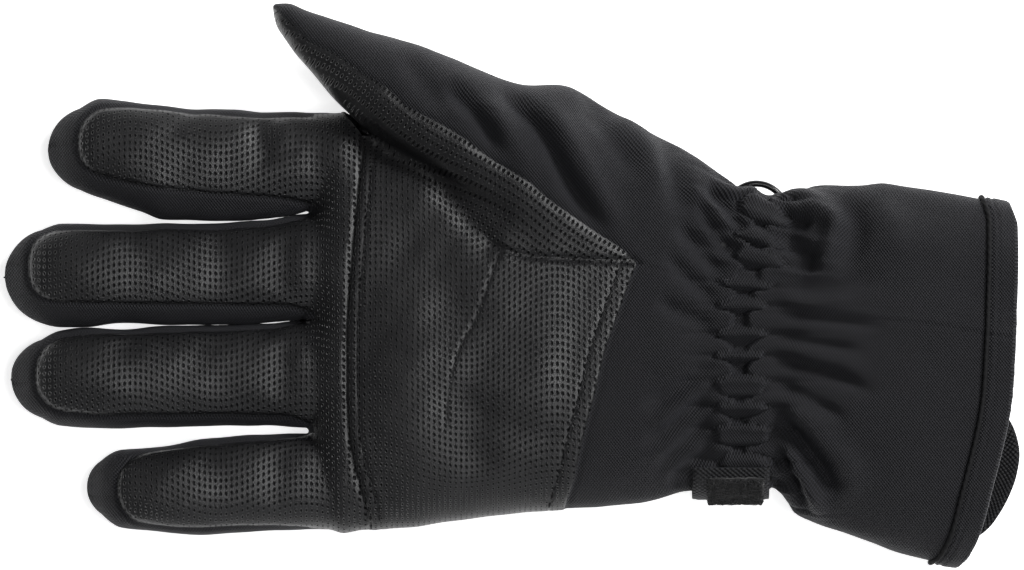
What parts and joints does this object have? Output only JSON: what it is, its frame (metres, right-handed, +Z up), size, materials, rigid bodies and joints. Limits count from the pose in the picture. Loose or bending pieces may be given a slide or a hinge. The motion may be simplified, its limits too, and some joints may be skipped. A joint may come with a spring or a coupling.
{
  "type": "ski glove",
  "caption": "Insulated right-hand ski glove lying palm up, with embossed leather finger fronts and palm, fabric shell, shirred wrist, strap with ring, flared cuff and hang loop.",
  "frame": {"origin": "on the surface that the glove lies on, under the middle of its outline", "axes": "+X from the fingertips to the cuff, +Y towards the thumb, +Z up out of the palm"},
  "size_m": [0.3054, 0.1695, 0.0369],
  "materials": {
    "leather": "embossed, satin",
    "shell_fabric": "woven, matt",
    "insulation": "loose fibre",
    "fleece": "brushed",
    "webbing": "ribbed",
    "loop_tape": "fuzzy loops",
    "hook_tape": "small hooks",
    "elastic": "ribbed",
    "ring_plastic": "gloss"
  },
  "bodies": {
    "hand": {"palm_panel_upper": "leather", "palm_panel_lower": "leather", "thumb_base_front": "leather", "heel_panel": "shell_fabric", "thumb_side_panel": "shell_fabric", "back_panel": "shell_fabric", "outer_side_gusset": "shell_fabric", "finger_root_gussets": "shell_fabric", "thumb_root_gusset": "shell_fabric", "hand_insulation": "insulation", "hand_lining": "fleece", "wrist_gather": "shell_fabric", "wrist_elastic": "elastic", "cuff_palm_panel": "shell_fabric", "cuff_back_panel": "shell_fabric", "cuff_lining": "fleece", "hem_binding": "shell_fabric", "hem_bead": "shell_fabric", "strap_base": "webbing", "strap_loop_patch": "loop_tape", "strap_anchor": "webbing", "ring_tab": "webbing", "hang_loop_bartack": "webbing"},
    "index_finger": {"index_front": "leather", "index_fourchette": "shell_fabric", "index_back": "shell_fabric", "index_insulation": "insulation", "index_lining": "fleece"},
    "middle_finger": {"middle_front": "leather", "middle_fourchette": "shell_fabric", "middle_back": "shell_fabric", "middle_insulation": "insulation", "middle_lining": "fleece"},
    "ring_finger": {"ring_front": "leather", "ring_fourchette": "shell_fabric", "ring_back": "shell_fabric", "ring_insulation": "insulation", "ring_lining": "fleece"},
    "little_finger": {"little_front": "leather", "little_fourchette": "shell_fabric", "little_back": "shell_fabric", "little_insulation": "insulation", "little_lining": "fleece"},
    "thumb": {"thumb_front": "leather", "thumb_back": "shell_fabric", "thumb_insulation": "insulation", "thumb_lining": "fleece"},
    "strap_end": {"strap_tail": "webbing", "strap_hook_patch": "hook_tape"},
    "ring": {"d_ring": "ring_plastic"},
    "loop": {"hang_loop": "webbing"}
  },
  "joints": [
    {"name": "index_bend", "type": "hinge", "parent": "hand", "child": "index_finger", "pos_m": [-0.06999, 0.03759, 0.0112], "axis": [0.0321, 0.9995, 0], "range_deg": [-10, 65], "stiffness_Nm_per_rad": 0.3},
    {"name": "middle_bend", "type": "hinge", "parent": "hand", "child": "middle_finger", "pos_m": [-0.07, 0.00532, 0.0112], "axis": [-0.0233, 0.9997, 0], "range_deg": [-10, 65], "stiffness_Nm_per_rad": 0.3},
    {"name": "ring_bend", "type": "hinge", "parent": "hand", "child": "ring_finger", "pos_m": [-0.07, -0.02551, 0.0112], "axis": [-0.0259, 0.9997, 0], "range_deg": [-10, 65], "stiffness_Nm_per_rad": 0.3},
    {"name": "little_bend", "type": "hinge", "parent": "hand", "child": "little_finger", "pos_m": [-0.06999, -0.0586, 0.0112], "axis": [-0.0504, 0.9987, 0], "range_deg": [-10, 65], "stiffness_Nm_per_rad": 0.3},
    {"name": "thumb_bend", "type": "hinge", "parent": "hand", "child": "thumb", "pos_m": [-0.04877, 0.06633, 0.0195], "axis": [0.538, 0.843, 0], "range_deg": [-10, 50], "stiffness_Nm_per_rad": 0.2},
    {"name": "strap_peel", "type": "hinge", "parent": "hand", "child": "strap_end", "pos_m": [0.0675, 0.009, 0.0042], "axis": [1, 0, 0], "range_deg": [0, 150]},
    {"name": "ring_swivel", "type": "hinge", "parent": "hand", "child": "ring", "pos_m": [0.0735, 0.0195, 0.009], "axis": [1, 0, 0], "range_deg": [-60, 20]},
    {"name": "loop_flap", "type": "hinge", "parent": "hand", "child": "loop", "pos_m": [0.1362, -0.0565, 0.0008], "axis": [0.2519, 0.9677, 0], "range_deg": [0, 90]}
  ]
}
